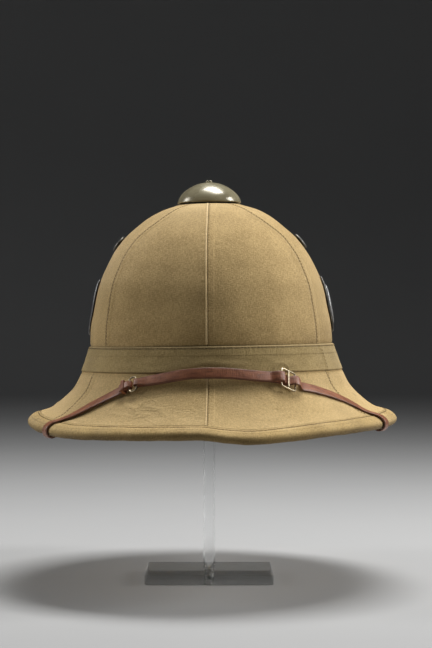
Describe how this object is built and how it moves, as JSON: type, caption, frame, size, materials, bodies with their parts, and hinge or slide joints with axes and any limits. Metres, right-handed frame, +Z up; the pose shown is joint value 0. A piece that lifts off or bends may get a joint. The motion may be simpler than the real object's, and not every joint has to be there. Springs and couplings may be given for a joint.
{
  "type": "pith helmet on display stand",
  "caption": "Canvas-covered pith helmet with domed ventilator, hatband, side badges and leather chin strap, held up by a clear rod on a clear base plate.",
  "frame": {"origin": "middle of the object's footprint, on the surface that the stand rests on", "axes": "+Z up, the helmet's front towards -Y, +X to the right as seen from the front"},
  "size_m": [0.2854, 0.3373, 0.3106],
  "materials": {
    "canvas": "khaki cotton canvas, plain weave, worn",
    "band_canvas": "greener khaki canvas band",
    "olive_paint": "glossy olive paint, chipped",
    "dark_metal": "dark tarnished metal",
    "bright_metal": "bright plated metal",
    "leather": "reddish brown leather, worn",
    "wire": "pale plated wire",
    "acrylic": "clear polished acrylic"
  },
  "bodies": {
    "root": {"crown": "canvas", "brim": "canvas", "hatband": "band_canvas", "edge_binding": "canvas", "ventilator_cap": "olive_paint", "ventilator_collar": "dark_metal", "ventilator_stud": "olive_paint", "side_vent_left": "dark_metal", "side_vent_right": "dark_metal", "badge_left": "dark_metal", "badge_right": "dark_metal", "badge_boss": "bright_metal", "strap_long": "leather", "strap_left": "leather", "strap_keeper": "leather", "strap_ring": "wire", "buckle": "wire", "strap_anchor_left": "dark_metal", "strap_anchor_right": "dark_metal", "stand_base": "acrylic", "stand_rod": "acrylic", "stand_screw": "dark_metal", "stand_pad": "acrylic"}
  },
  "joints": []
}
